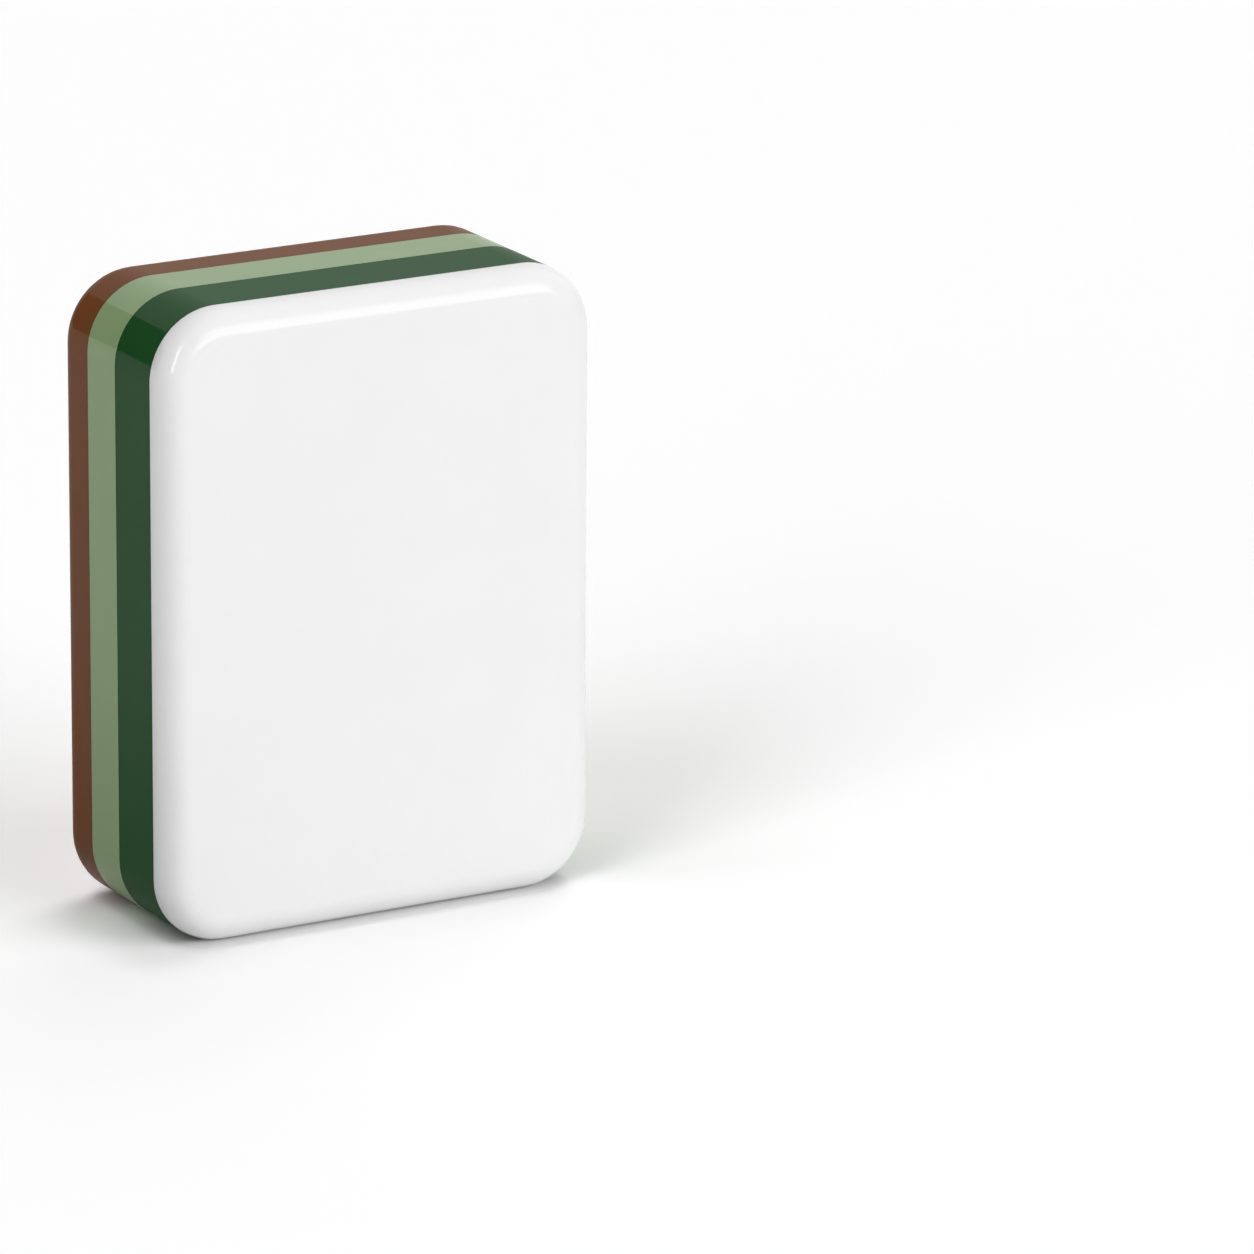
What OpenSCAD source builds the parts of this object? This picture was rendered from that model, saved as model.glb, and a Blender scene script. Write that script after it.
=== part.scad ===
// Blank mahjong tile of four coloured slabs, bonded face to face.
// It stands on a short end: +X is to the right, the white face looks to -Y and +Z is up.
// The origin is the middle of the end that it stands on.
// As on the real object, the bonded stack is shaped as one block: cut to its outline, then rolled along its edges.
// So the sides run flush over the joints, and the roll may be larger than the outer slabs are thick.

/* [Outline] */
// Height of the tile, standing on a short end
tile_h = 32; // [26:0.5:44]
// Width of the tile
tile_w = 24; // [19:0.5:33]
// Radius of the outline's four corners
corner_r = 3.5; // [2.4:0.1:6]
// Radius of the roll along the edges of the face and of the back
edge_r = 1.4; // [0.5:0.05:2.2]

/* [Slabs] */
// Thickness of the white face slab
face_t = 1.45; // [1.2:0.05:8]
// Thickness of the dark green slab behind it
dark_t = 3.55; // [1.2:0.05:8]
// Thickness of the light green slab
light_t = 2.9; // [1.2:0.05:8]
// Thickness of the brown back slab
back_t = 3.15; // [1.2:0.05:8]
// Thickness of the film of cured cement in each joint
bond_t = 0.05; // [0.02:0.01:0.2]

/* [Hidden] */
$fn = 96;

// How far a cutting block reaches past the tile
overrun = 1;

// Where each layer starts, measured from the face towards the back
face_bond_at = face_t;
dark_at = face_bond_at + bond_t;
core_bond_at = dark_at + dark_t;
light_at = core_bond_at + bond_t;
back_bond_at = light_at + light_t;
back_at = back_bond_at + bond_t;
tile_t = back_at + back_t;

// Straight runs of the outline between its corners
run_w = tile_w - 2 * corner_r;
run_h = tile_h - 2 * corner_r;

// Section through an edge: from a corner's axis out to the side, and from the face, at 0, up to the back
module edge_section() {
    square([corner_r - edge_r, tile_t]);
    translate([0, edge_r])
        square([corner_r, tile_t - 2 * edge_r]);
    intersection() {
        translate([0, -overrun])
            square([corner_r + overrun, tile_t + 2 * overrun]);
        for (roll_at = [edge_r, tile_t - edge_r])
            translate([corner_r - edge_r, roll_at])
                circle(edge_r);
    }
}

// Straight edge of a given length, along the Y axis, with its section out to +X
module edge_run(length) {
    rotate([90, 0, 0])
        translate([0, 0, -length / 2])
            linear_extrude(length)
                edge_section();
}

// Quarter turn of the same section about the Z axis, between +X and +Y
module edge_corner() {
    rotate_extrude(angle = 90)
        edge_section();
}

// The shaped block lying on its face, centred on the Z axis
module lying_block() {
    translate([-run_w / 2, -run_h / 2, 0])
        cube([run_w, run_h, tile_t]);
    for (turn = [0, 180])
        rotate([0, 0, turn]) {
            translate([run_w / 2, 0, 0])
                edge_run(run_h);
            translate([0, run_h / 2, 0])
                rotate([0, 0, 90])
                    edge_run(run_w);
            translate([run_w / 2, run_h / 2, 0])
                edge_corner();
            translate([-run_w / 2, run_h / 2, 0])
                rotate([0, 0, 90])
                    edge_corner();
        }
}

// One layer of the block, between two planes parallel to the face, with the tile stood up on its end
module layer(start, thickness) {
    translate([0, -tile_t / 2, tile_h / 2])
        rotate([-90, 0, 0])
            intersection() {
                lying_block();
                translate([-tile_w / 2 - overrun, -tile_h / 2 - overrun, start])
                    cube([tile_w + 2 * overrun, tile_h + 2 * overrun, thickness]);
            }
}

// White slab with the playing face, which is bare
module face_slab() {
    color("#f4f4f2")
        layer(0, face_t);
}

// Cement between the white and the dark green slab
module face_bond_film() {
    color("#6f8a72")
        layer(face_bond_at, bond_t);
}

// Dark green slab
module dark_green_slab() {
    color("#184a28")
        layer(dark_at, dark_t);
}

// Cement between the two green slabs
module core_bond_film() {
    color("#4d7350")
        layer(core_bond_at, bond_t);
}

// Light green slab
module light_green_slab() {
    color("#8fae82")
        layer(light_at, light_t);
}

// Cement between the light green and the brown slab
module back_bond_film() {
    color("#7d7450")
        layer(back_bond_at, bond_t);
}

// Brown slab with the bare back
module back_slab() {
    color("#6b3518")
        layer(back_at, back_t);
}

face_slab();
face_bond_film();
dark_green_slab();
core_bond_film();
light_green_slab();
back_bond_film();
back_slab();
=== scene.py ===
# %% [markdown]
# A blank mahjong tile, from its seven solids to its portrait.
# The real tile is four slabs of coloured plastic, cemented face to face, cut to one outline, rolled along
# its edges and buffed. The solids come from the CAD model and already have the right shape, so this lesson
# is about what is left: the plastic, the cement in the joints, the polish, and a small studio that shows
# them.

# %% Load the tile
import bpy
import math
from mathutils import Matrix, Vector


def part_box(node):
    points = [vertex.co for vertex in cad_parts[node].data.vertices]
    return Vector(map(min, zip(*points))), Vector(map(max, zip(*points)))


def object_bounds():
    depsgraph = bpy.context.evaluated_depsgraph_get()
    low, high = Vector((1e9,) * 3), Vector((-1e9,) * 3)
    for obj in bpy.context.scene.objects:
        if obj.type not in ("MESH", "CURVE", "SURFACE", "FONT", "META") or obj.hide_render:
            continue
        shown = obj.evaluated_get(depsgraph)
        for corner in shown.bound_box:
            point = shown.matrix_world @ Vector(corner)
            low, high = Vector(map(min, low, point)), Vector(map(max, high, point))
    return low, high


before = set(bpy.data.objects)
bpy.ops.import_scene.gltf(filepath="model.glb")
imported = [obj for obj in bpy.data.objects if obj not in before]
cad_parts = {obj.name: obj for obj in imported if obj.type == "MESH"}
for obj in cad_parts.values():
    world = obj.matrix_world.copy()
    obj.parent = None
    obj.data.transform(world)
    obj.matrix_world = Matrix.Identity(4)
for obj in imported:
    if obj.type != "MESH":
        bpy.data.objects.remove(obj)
cad_low, cad_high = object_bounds()
MM, MICRON = 1e-3, 1e-6

# %% [markdown]
# A material is a small machine of nodes. Numbers on their way through it are easier to read as sums than as
# boxes, so one class wraps an output socket and turns plus, minus, times and over into Math nodes. A second
# class holds one material's nodes, and its add method makes any node: its settings first, then its sockets.

# %% Helpers for nodes
class Wire:
    """An output socket. Arithmetic on it adds Math nodes."""

    def __init__(self, recipe, socket):
        self.recipe, self.socket = recipe, socket

    def math(self, operation, *given):
        return self.recipe.add("ShaderNodeMath", {"operation": operation}, dict(enumerate(given)))

    def __add__(self, other): return self.math("ADD", self, other)
    def __radd__(self, other): return self.math("ADD", other, self)
    def __sub__(self, other): return self.math("SUBTRACT", self, other)
    def __rsub__(self, other): return self.math("SUBTRACT", other, self)
    def __mul__(self, other): return self.math("MULTIPLY", self, other)
    def __rmul__(self, other): return self.math("MULTIPLY", other, self)
    def __truediv__(self, other): return self.math("DIVIDE", self, other)
    def __abs__(self): return self.math("ABSOLUTE", self)
    def root(self): return self.math("SQRT", self)
    def exp(self): return self.math("EXPONENT", self)
    def at_least(self, other): return self.math("MAXIMUM", self, other)
    def at_most(self, other): return self.math("MINIMUM", self, other)

    def ramp(self, start, end):
        """0 before start, 1 after end and a soft step between them; start may be the larger."""
        flip = start > end
        low, high = (end, start) if flip else (start, end)
        step = self.recipe.add("ShaderNodeMapRange", {"interpolation_type": "SMOOTHSTEP"},
                               {"Value": self, "From Min": low, "From Max": high})
        return 1 - step if flip else step


class Recipe:
    """The nodes of one material, or of the world."""

    def __init__(self, owner):
        owner.use_nodes = True
        self.tree = owner.node_tree
        self.tree.nodes.clear()

    def add(self, kind, settings=None, sockets=None, out=0):
        made = self.tree.nodes.new(kind)
        for name, value in (settings or {}).items():
            setattr(made, name, value)
        for name, value in (sockets or {}).items():
            if isinstance(value, Wire):
                self.tree.links.new(value.socket, made.inputs[name])
            else:
                made.inputs[name].default_value = value
        return Wire(self, made.outputs[out]) if made.outputs else made

    def split(self, vector):
        """The x, y and z of a vector."""
        parts = self.add("ShaderNodeSeparateXYZ", {}, {"Vector": vector})
        return [Wire(self, output) for output in parts.socket.node.outputs]

    def mix(self, amount, first, second):
        """A colour between two colours. A Mix node has its colours at sockets 6 and 7 and their mix at 2."""
        return self.add("ShaderNodeMix", {"data_type": "RGBA"}, {0: amount, 6: first, 7: second}, out=2)

    def mix_shaders(self, amount, first, second):
        """A shader that turns from the first into the second as amount goes from 0 to 1."""
        return self.add("ShaderNodeMixShader", {}, {0: amount, 1: first, 2: second})

    def scatter(self, where, size, detail=1.0):
        """Noise from 0 to 1 whose blotches are about as large as size, in metres."""
        return self.add("ShaderNodeTexNoise", {"noise_dimensions": "3D"},
                        {"Vector": where, "Scale": 1 / size, "Detail": detail})


def diagonal(first, second):
    """Distance from a corner, out of the distances along its two sides."""
    return (first * first + second * second).root()


def linear(red, green, blue):
    """A colour as a paint chart gives it, 0 to 255, turned into the light values that Blender works with."""
    parts = [v / 255 for v in (red, green, blue)]
    return tuple(v / 12.92 if v <= 0.04045 else ((v + 0.055) / 1.055) ** 2.4 for v in parts)


def shade(colour, factor):
    """The same colour with more or less light in it, as the four numbers of a socket."""
    return (*(min(v * factor, 1.0) for v in colour), 1.0)


print("white paper at half brightness is", [round(v, 3) for v in linear(188, 188, 188)])

# %% [markdown]
# The finish knows where it is on the tile. The slabs are cut from one block, so the distance from any point
# to the block's outline, and to its face or back, follows from a few sizes. Their sum is smallest in the
# middle of a rolled edge, which is where fingers and the table rub, so that sum is the mask for wear.

# %% Sizes that the finishes use
half_w, half_t, tile_h = cad_high
corner_r, edge_r = 3.5 * MM, 1.4 * MM
print("tile", [round(v / MM, 2) for v in (2 * half_w, 2 * half_t, tile_h)], "mm")


def edge_distance(r, where):
    """How far a point is from the nearest rolled edge: 0.59 edge_r in its middle, edge_r at its rims."""
    x, y, z = r.split(where)
    across = abs(x) - (half_w - corner_r)
    upward = abs(z - tile_h / 2) - (tile_h / 2 - corner_r)
    outside = diagonal(across.at_least(0.0), upward.at_least(0.0))
    to_outline = corner_r - outside - across.at_least(upward).at_most(0.0)
    to_flat = half_t - abs(y)
    return to_outline + to_flat, y


# %% [markdown]
# A buffing wheel leaves hairlines along the way it ran. They are noise drawn out to long fine ridges, of
# which only the highest are kept. A second, coarse noise keeps them in patches, because a wheel doesn't
# bite everywhere the same, and two layers at different slants look like two passes. Lines drawn one by one
# would need their own geometry or an image, and noise needs neither.

# %% Hairlines
HAIR, HAIR_RUN = 0.05 * MM, 9.0 * MM         # thickness and length
HAIR_SLANTS = 4, -17                         # degrees from the tile's height, one for each pass
HAIR_PATCH = 15.0 * MM
RIDGE_RISE = 0.63, 0.72                      # noise at which a hairline starts and is full
PATCH_RISE = 0.42, 0.62


def hairlines(r, where):
    """How scratched a point is: 0 for bare polish, 1 in a hairline, and more where two of them cross."""
    passes = []
    for slant in HAIR_SLANTS:
        along = r.add("ShaderNodeMapping", {"vector_type": "TEXTURE"}, {
            "Vector": where, "Rotation": (0, math.radians(slant), 0), "Scale": (1, 1, HAIR_RUN / HAIR)})
        passes.append(r.scatter(along, HAIR).ramp(*RIDGE_RISE))
    return (passes[0] + passes[1]) * r.scatter(where, HAIR_PATCH).ramp(*PATCH_RISE)


print("a hairline is", round(HAIR_RUN / HAIR), "times as long as it is thick")

# %% [markdown]
# The plastic. Sheet for tiles is cast or pressed with its dye through and through, so its colour hardly
# changes, but cut across it shows faint clouds where the dye lies a little denser, and a fine grain.
# Buffing then closes the surface: a clear, hard skin of polish with hairlines, and a little less of it along
# the edges, where a tile is handled. A thin coat over a nearly matt base gives that: the coat carries the
# sharp reflections, and its weight is where the hairlines and the wear belong. The paler plastics are the
# harder ones and take more polish. Close to its joint the white is painted darker, as painted shade where it
# meets the dark slab, so it turns grey over the last third of a millimetre.

# %% The plastic of the slabs
PLASTIC_IOR = 1.5
POLISH_BLUR, BODY_BLUR = 0.035, 0.30         # roughness of the polished skin and of the plastic under it
CLOUD, GRAIN = 5.0 * MM, 0.12 * MM
CLOUD_RISE = 0.3, 0.7                        # noise at which the colour is darkest and at which it is palest
CLOUD_HEIGHT, GRAIN_HEIGHT, HAIR_DEPTH = 1.2 * MICRON, 0.25 * MICRON, 0.8 * MICRON
GRAIN_DARKENS, WEAR_PALES = 0.25, 0.10       # how far each takes the colour towards its own
CHALK = 0.1                                  # worn plastic is this far on the way to middle grey
WEAR_FULL = 0.6                              # share of edge_r at which the wear is full
HAIR_DULLS, WEAR_DULLS, CLOUD_DULLS = 0.22, 0.12, 0.06     # share of the polish that each takes away
HAIR_BLURS, WEAR_BLURS, GRAIN_BLURS = 0.25, 0.15, 0.05     # roughness that each adds
JOINT_SHADE_DEPTH = 0.33 * MM
JOINT_SHADE_SHARE = 0.16                            # painted shade: share of the white's colour taken away right at the joint


def plastic(name, colour, cloud, polish, bend=PLASTIC_IOR, joint=None):
    """A buffed slab. colour is the dye's own, cloud how much it varies, joint the depth next to which the
    slab is painted darker, as painted shade.
    """
    material = bpy.data.materials.new(name)
    r = Recipe(material)
    where = r.add("ShaderNodeTexCoord", out="Object")
    clouds = r.scatter(where, CLOUD, detail=3.0)
    grain = r.scatter(where, GRAIN)
    edge, depth = edge_distance(r, where)
    worn = edge.ramp(edge_r, WEAR_FULL * edge_r)
    scratched = hairlines(r, where)
    hair = scratched.at_most(1.0)

    chalky = tuple(v + CHALK * (0.5 - v) for v in colour)
    dye = r.mix(clouds.ramp(*CLOUD_RISE), shade(colour, 1 - cloud), shade(colour, 1 + cloud))
    dye = r.mix(grain * GRAIN_DARKENS, dye, shade(colour, 1 - 2 * cloud))
    dye = r.mix(worn * WEAR_PALES, dye, shade(chalky, 1))
    if joint is not None:
        # Painted shade: the white darkens towards its joint with the dark green.
        painted_joint_shade = JOINT_SHADE_SHARE * (abs(depth - joint) / -JOINT_SHADE_DEPTH).exp()
        dye = r.mix(painted_joint_shade, dye, (0, 0, 0, 1))
    height = clouds * CLOUD_HEIGHT + grain * GRAIN_HEIGHT - scratched * HAIR_DEPTH
    bump = r.add("ShaderNodeBump", {}, {"Height": height, "Distance": 1.0, "Strength": 1.0})
    skin = polish * (1 - HAIR_DULLS * hair - WEAR_DULLS * worn - CLOUD_DULLS * clouds)
    blur = BODY_BLUR + HAIR_BLURS * hair + WEAR_BLURS * worn + GRAIN_BLURS * grain
    shell = r.add("ShaderNodeBsdfPrincipled", {}, {
        "Base Color": dye, "Roughness": blur, "Normal": bump, "Coat Weight": skin,
        "Coat Roughness": POLISH_BLUR, "Coat IOR": bend, "IOR": bend, "Specular IOR Level": 0.0})
    r.add("ShaderNodeOutputMaterial", {}, {"Surface": shell})
    material.diffuse_color = shade(colour, 1)
    return material


# The grey near the white's joint is painted shade.
print("a milky slab's grey has faded to about a third", round(JOINT_SHADE_DEPTH / MM, 2), "mm from its joint")

# %% [markdown]
# Four dyes. Each slab gets its own material, because the dye, the clouds and the polish all differ. A
# colour is the one that the plastic has in plain light, without the reflection that lies over it.

# %% The four slabs
DARK_POLISH, PALE_POLISH, FACE_POLISH = 0.24, 0.53, 1.0    # share of a full clear coat in each skin
FACE_IOR = 1.65                                            # the white slab is the densest plastic
WHITE = linear(243, 243, 243)
DARK_GREEN = linear(34, 80, 39)
LIGHT_GREEN = linear(142, 167, 121)
BROWN = linear(118, 71, 40)
white_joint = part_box("face_slab")[1].y
slab_finish = {
    "face_slab": plastic("white_plastic", WHITE, 0.006, FACE_POLISH, FACE_IOR, white_joint),
    "dark_green_slab": plastic("dark_green_plastic", DARK_GREEN, 0.04, DARK_POLISH),
    "light_green_slab": plastic("light_green_plastic", LIGHT_GREEN, 0.02, PALE_POLISH),
    "back_slab": plastic("brown_plastic", BROWN, 0.04, DARK_POLISH),
}
for name, material in slab_finish.items():
    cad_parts[name].material_slots[0].material = material
    print(name, "gets", material.name, "with", len(material.node_tree.nodes), "nodes")

# %% [markdown]
# The cement. It is clear and sets as a film a twentieth of a millimetre thick, so on the side of the tile
# it is a hairline that takes the colour of the darker slab next to it, darker still because no light comes
# back from the joint. It is softer than the slabs, so the wheel leaves it a trace lower and less bright.
# The joints are solids of their own, so each gets a material too, and no line has to be painted on the
# slabs.

# %% The cement in the joints
BEAD, BEAD_HEIGHT = 0.6 * MM, 2 * MICRON     # size and height of the ripples in which it sets
BEAD_RISE = 0.35, 0.65
CEMENT_TINTS = 0.55, 0.8                     # share of the slab's colour, between the ripples and on them
CEMENT_BLUR, BEAD_BLURS = 0.35, 0.2
CEMENT_POLISH, BEAD_DULLS = 0.6 * DARK_POLISH, 0.4
CEMENT_POLISH_BLUR = 0.12
CEMENT_IN_VIEWPORT = 0.7


def cement(name, colour):
    """A film of cured cement. colour is that of the darker slab beside it."""
    material = bpy.data.materials.new(name)
    r = Recipe(material)
    beads = r.scatter(r.add("ShaderNodeTexCoord", out="Object"), BEAD, detail=2.0)
    tint = r.mix(beads.ramp(*BEAD_RISE), *(shade(colour, share) for share in CEMENT_TINTS))
    bump = r.add("ShaderNodeBump", {}, {"Height": beads * BEAD_HEIGHT, "Distance": 1.0, "Strength": 1.0})
    shell = r.add("ShaderNodeBsdfPrincipled", {}, {
        "Base Color": tint, "Roughness": CEMENT_BLUR + BEAD_BLURS * beads, "Normal": bump,
        "Coat Weight": CEMENT_POLISH * (1 - BEAD_DULLS * beads), "Coat Roughness": CEMENT_POLISH_BLUR,
        "Coat IOR": PLASTIC_IOR, "IOR": PLASTIC_IOR, "Specular IOR Level": 0.0})
    r.add("ShaderNodeOutputMaterial", {}, {"Surface": shell})
    material.diffuse_color = shade(colour, CEMENT_IN_VIEWPORT)
    return material


film_finish = {
    "face_bond_film": cement("cement_by_dark_green", DARK_GREEN),
    "core_bond_film": cement("cement_between_greens", DARK_GREEN),
    "back_bond_film": cement("cement_by_brown", BROWN),
}
for name, material in film_finish.items():
    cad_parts[name].material_slots[0].material = material
    print(name, "gets", material.name)

# %% [markdown]
# The camera. Product pictures of small things are taken from far off with a long lens, so that the tile's
# upright edges stay nearly parallel. The view was worked out from the outline and the joints of the tile in
# the photograph: the direction it looks from, its tilt, and where the middle of the tile falls in the
# picture.

# %% Camera
FRAME_PX = 1254
SENSOR, LENS = 36.0, 281.74                  # both in millimetres, as a camera's maker gives them
VIEW_AZIMUTH, VIEW_PITCH, VIEW_ROLL = -30.136, 16.499, 0.341         # degrees
TILE_MIDDLE_PX = 329.14, 579.45              # from the left and the top of the picture
TILE_DEPTH = 0.48403                         # metres from the camera to the tile, along the way it looks
NEAREST, FARTHEST = 0.05, 20                 # what lies between these distances is in the picture


def in_scene(name, data):
    """A new object that shows this mesh, lamp or camera, linked to the scene."""
    made = bpy.data.objects.new(name, data)
    bpy.context.scene.collection.objects.link(made)
    return made


turn, tilt = math.radians(VIEW_AZIMUTH), math.radians(VIEW_PITCH)
back = Vector((math.sin(turn) * math.cos(tilt), -math.cos(turn) * math.cos(tilt), math.sin(tilt)))
facing = back.to_track_quat("Z", "Y").to_matrix() @ Matrix.Rotation(math.radians(VIEW_ROLL), 3, "Z")
metres_per_px = TILE_DEPTH * SENSOR / LENS / FRAME_PX
middle_right = (TILE_MIDDLE_PX[0] - FRAME_PX / 2) * metres_per_px
middle_up = (FRAME_PX / 2 - TILE_MIDDLE_PX[1]) * metres_per_px
camera_place = Vector((0, 0, tile_h / 2)) - facing @ Vector((middle_right, middle_up, -TILE_DEPTH))
camera_data = bpy.data.cameras.new("portrait_camera")
camera_data.lens, camera_data.sensor_width = LENS, SENSOR
camera_data.clip_start, camera_data.clip_end = NEAREST, FARTHEST
camera = in_scene("portrait_camera", camera_data)
camera.matrix_world = Matrix.Translation(camera_place) @ facing.to_4x4()
bpy.context.scene.camera = camera
print("camera at", [round(v, 4) for v in camera_place])

# %% [markdown]
# The floor. A white sheet would need more light than the tile does to look white, and that light would
# bleach the tile. So the floor is plain pale paper, and only the rays that come from the camera, a
# reflection or clear stuff see it lifted to white. It is still lit by the lamps alone, so the tile's shadow
# stays on it.

# %% Floor
FLOOR_HALF = 5.0
floor_mesh = bpy.data.meshes.new("floor")
corners = [(x * FLOOR_HALF, y * FLOOR_HALF, 0) for x, y in ((-1, -1), (1, -1), (1, 1), (-1, 1))]
floor_mesh.from_pydata(corners, [], [(0, 1, 2, 3)])
floor = in_scene("floor", floor_mesh)


def seen(r):
    """1 for a ray from the camera, a mirror or clear stuff, and 0 for scattered light."""
    kinds = "Is Camera Ray", "Is Glossy Ray", "Is Transmission Ray"
    from_camera, mirrored, through = (r.add("ShaderNodeLightPath", out=kind) for kind in kinds)
    return (from_camera + mirrored + through).at_most(1.0)


print("floor", 2 * FLOOR_HALF, "m square")

# %% [markdown]
# The paper's look changes from place to place. The lift to white would make the darkest shade under the
# rolled edge too light, so it ends where the floor is shut in, which ambient occlusion tells, and that
# deepens the contact shadow with painted shade. In front of the tile the paper is painted with light: it
# glows a little of its own, and that keeps the wide, faint shadows of the back lamps out of the picture. To
# the left of the tile the paper is painted grey for every ray but the camera's, which is painted shade: it
# keeps the paper from throwing light up on the lower end of the side, and that end mirrors it, so the side
# darkens and its colours deepen towards the floor.
# Each of these is a plain shader of one colour, and masks say how much of each shows.

# %% Floor paper
FLOOR_PAPER, FLOOR_WHITE = 0.80, 1.17        # the paper's grey, and what it is lifted to
SHUT_IN_REACH = 1.0 * MM
SHUT_IN_RISE = 0.4, 1.0                      # share of open air at which the lift starts and is full
PAINTED_GLOW_SHARE = 0.6                             # painted light: share of the paper's look that is its own glow
GLOW_START = 4 * MM                          # distance from the tile over which the glow comes up
GLOW_FRONT = 0.0, -8 * MM                    # depth at which the glow starts and is full
GLOW_SLANT = 0.3                             # how much further back it reaches on the left than on the right
PAINTED_SHADE_SHARE = 0.45                            # painted shade: share of the light taken away next to the tile, for every ray but the camera's
PAINTED_SHADE_FADE = 50 * MM, 5 * MM                 # distance from the tile's side where it ends and is full
PAINTED_SHADE_EDGE = 2 * MM, -4 * MM                 # the same, measured straight across from that side

paper = bpy.data.materials.new("floor_paper")
r = Recipe(paper)
across, depth, _ = r.split(r.add("ShaderNodeTexCoord", out="Object"))
open_air = r.add("ShaderNodeAmbientOcclusion", {"samples": 2}, {"Distance": SHUT_IN_REACH}, out="AO")
off_tile = diagonal((abs(across) - half_w).at_least(0.0), (abs(depth) - half_t).at_least(0.0))
in_front = (depth + across * GLOW_SLANT).ramp(*GLOW_FRONT)
beside = across + half_w
painted_shade_patch = diagonal(beside, depth).ramp(*PAINTED_SHADE_FADE) * beside.ramp(*PAINTED_SHADE_EDGE)
unseen = 1 - r.add("ShaderNodeLightPath", out="Is Camera Ray")

grey, white, black = (r.add("ShaderNodeBsdfDiffuse", {}, {"Color": (v, v, v, 1)})
                      for v in (FLOOR_PAPER, FLOOR_WHITE, 0.0))
glow = r.add("ShaderNodeEmission", {}, {"Color": (1, 1, 1, 1), "Strength": 1.0})
# Painted shade: the lift fades where the floor is shut in, which deepens the contact shadow.
look = r.mix_shaders(seen(r) * open_air.ramp(*SHUT_IN_RISE), grey, white)
# Painted shade: left of the tile the paper is darker for every ray but the camera's.
look = r.mix_shaders(PAINTED_SHADE_SHARE * unseen * painted_shade_patch, look, black)
# Painted light: the paper glows in front of the tile and washes out the back lamps' shadows there.
look = r.mix_shaders(PAINTED_GLOW_SHARE * seen(r) * off_tile.ramp(0.0, GLOW_START) * in_front, look, glow)
r.add("ShaderNodeOutputMaterial", {}, {"Surface": look})
floor_mesh.materials.append(paper)
print("floor paper has", len(paper.node_tree.nodes), "nodes")

# %% [markdown]
# The light. A polished tile is a set of mirrors: each highlight in the photograph is a picture of a lamp,
# so its ends give the lamp's place. The long band under the top edge is a wide softbox at the front right,
# standing on the floor, and the short sliver on the corner is a narrow, upright one at the front left.
# Behind the tile on the left a black card stands on the floor, and the sharp dark notch in the greens at
# the corner is its reflection. Everywhere else the polish mirrors white walls. The walls scatter no light
# of their own, which leaves every side to the lamps.

# %% World
AROUND = 0.0                                 # light that the walls scatter on the tile
IN_MIRRORS = 1.0                             # their look in a mirror, where 1 is white
world = bpy.data.worlds.new("studio")
bpy.context.scene.world = world
r = Recipe(world)
walls = [r.add("ShaderNodeBackground", {}, {"Color": (1, 1, 1, 1), "Strength": v})
         for v in (AROUND, IN_MIRRORS)]
r.add("ShaderNodeOutputWorld", {}, {"Surface": r.mix_shaders(seen(r), *walls)})
print("walls scatter", AROUND, "of white and show", IN_MIRRORS, "in mirrors")

# %% [markdown]
# There are two kinds of softbox. Most of them scatter light on the tile and the floor and are not seen in
# the polish, and they set how bright every side is. Two are seen in the polish alone, and set how bright
# the two highlights are. So neither kind has to give way to the other. The highlight ones stand a little
# nearer, because where two lamps fill one place, a mirrored ray finds only the first.

# %% Softboxes
FAR = 3.0
IN_FRONT = 0.4           # a lamp for highlights alone stands this much nearer, so that no other lamp hides it
AIM_HEIGHT = 0.95        # the lamps look at this share of the tile's height
tile_top = Vector((0, 0, tile_h * AIM_HEIGHT))


def direction(azimuth, elevation):
    """Unit vector from the tile; azimuth 0 is in front of the white face and 90 to its right."""
    a, e = math.radians(azimuth), math.radians(elevation)
    return Vector((math.sin(a) * math.cos(e), -math.cos(a) * math.cos(e), math.sin(e)))


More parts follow.
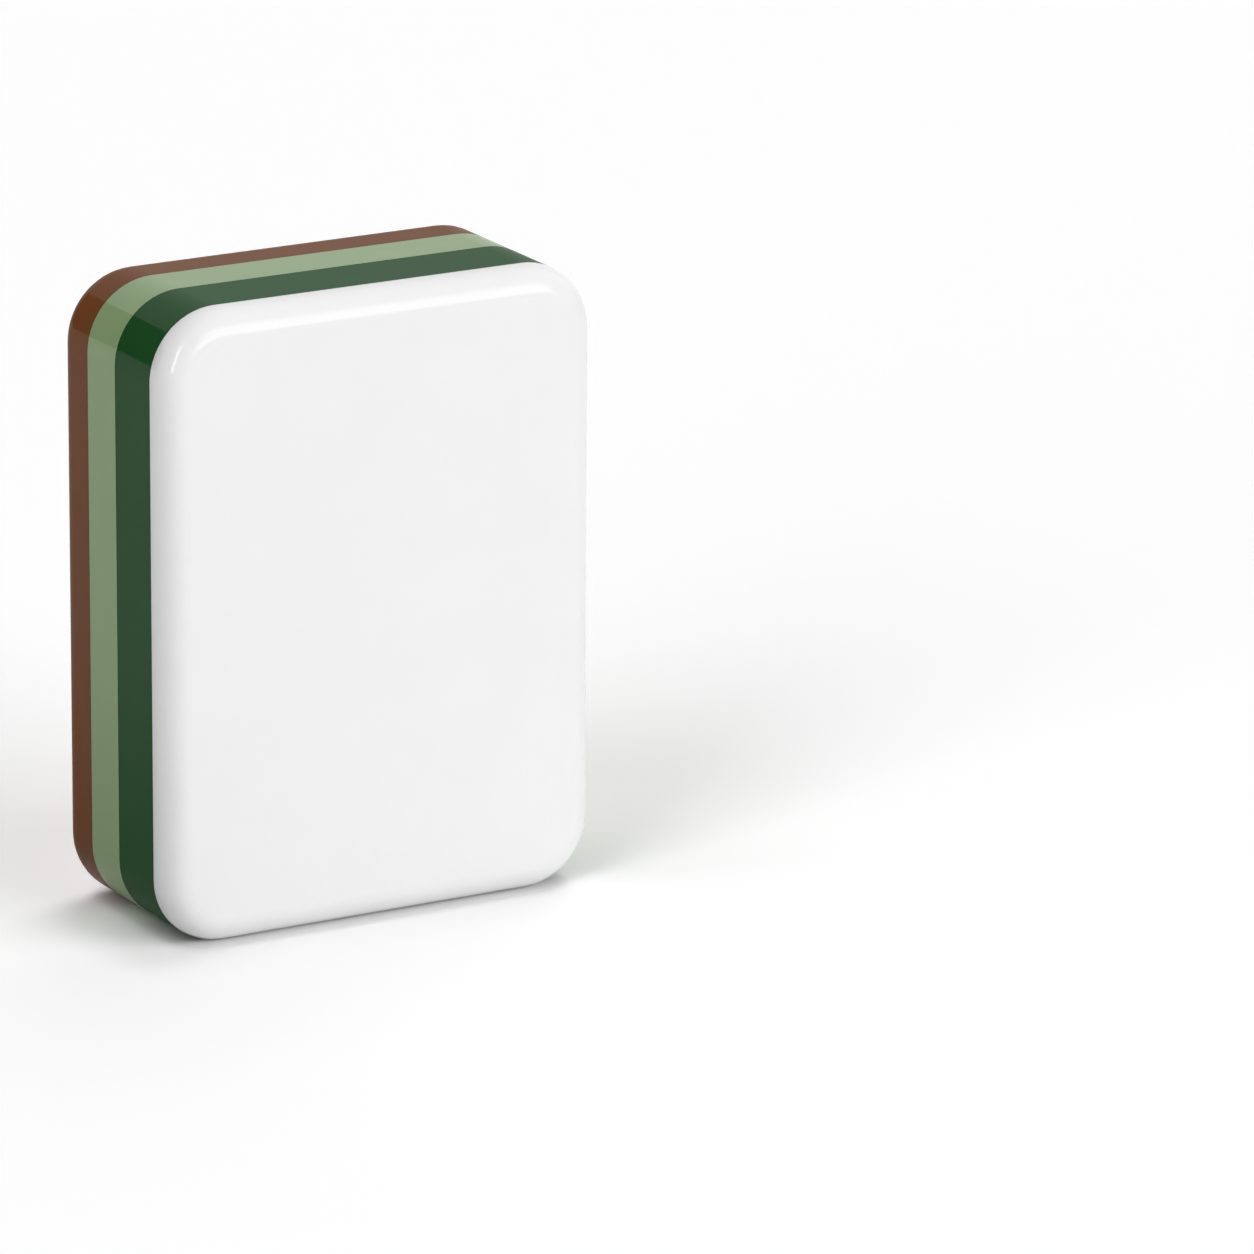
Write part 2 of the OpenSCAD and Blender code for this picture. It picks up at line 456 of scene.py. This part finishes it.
def softbox(name, azimuths, elevations, glow, mirrored=False):
    """A rectangle that fills these angles as the tile sees it. glow is its brightness, with white as 1."""
    middle = [sum(pair) / 2 for pair in (azimuths, elevations)]
    away = FAR - IN_FRONT if mirrored else FAR
    width, height = (2 * away * math.tan(math.radians(abs(b - a) / 2)) for a, b in (azimuths, elevations))
    width *= math.cos(math.radians(middle[1]))
    data = bpy.data.lights.new(name, "AREA")
    data.shape, data.size, data.size_y = "RECTANGLE", width, height
    data.energy = math.pi * width * height * glow
    lamp = in_scene(name, data)
    towards = direction(*middle)
    lamp.matrix_world = (Matrix.Translation(tile_top + towards * away)
                         @ towards.to_track_quat("Z", "Y").to_matrix().to_4x4())
    lamp.visible_camera = False
    lamp.visible_glossy, lamp.visible_diffuse = mirrored, not mirrored
    print(name, [round(v, 2) for v in (width, height)], "m, glow", glow)


softbox("front_right_box", (4, 62), (1.5, 35), 3.86)
softbox("front_left_box", (-75, -45), (30, 60), 3.1)
softbox("low_left_box", (-75, -45), (4, 30), 2.3)
softbox("high_left_box", (-110, -60), (40, 75), 0.66)
softbox("high_back_box", (120, 240), (60, 84), 2.08)
softbox("back_right_box", (110, 155), (30, 60), 2.27)
softbox("low_back_box", (120, 170), (2, 35), 0.86)
softbox("band_sparkle", (4, 42), (1.5, 35), 1.7, mirrored=True)
softbox("sliver_sparkle", (-54, -40), (2, 38), 3.0, mirrored=True)

# %% [markdown]
# The black card is a screen of felt. It stands where the corner of the tile mirrors it, from the floor up
# to the angle at which the notch in the greens ends. It is bent round the tile, because the ends of a flat
# card would be further off and look lower, and the top of the notch would slant.

# %% Black card
CARD_AZIMUTHS = -172, -112
CARD_TOP = 26.0          # degrees above the floor, as the tile sees it
CARD_STEPS = 24
FELT = 0.02
card_height = tile_top.z + FAR * math.tan(math.radians(CARD_TOP))
start, end = CARD_AZIMUTHS
foot = [direction(start + (end - start) * i / CARD_STEPS, 0) * FAR for i in range(CARD_STEPS + 1)]
card_mesh = bpy.data.meshes.new("black_card")
card_mesh.from_pydata([(p.x, p.y, z) for p in foot for z in (0.0, card_height)], [],
                      [(2 * i, 2 * i + 2, 2 * i + 3, 2 * i + 1) for i in range(CARD_STEPS)])
card = in_scene("black_card", card_mesh)
card.visible_camera = False
felt = bpy.data.materials.new("black_felt")
r = Recipe(felt)
black = r.add("ShaderNodeBsdfDiffuse", {}, {"Color": (FELT, FELT, FELT, 1)})
r.add("ShaderNodeOutputMaterial", {}, {"Surface": black})
card_mesh.materials.append(felt)
print("card", round(card_height, 2), "m high")

# %% [markdown]
# The picture settings: colours leave as they are made, with no film look over them.

# %% Finish
bpy.context.scene.view_settings.view_transform = "Standard"
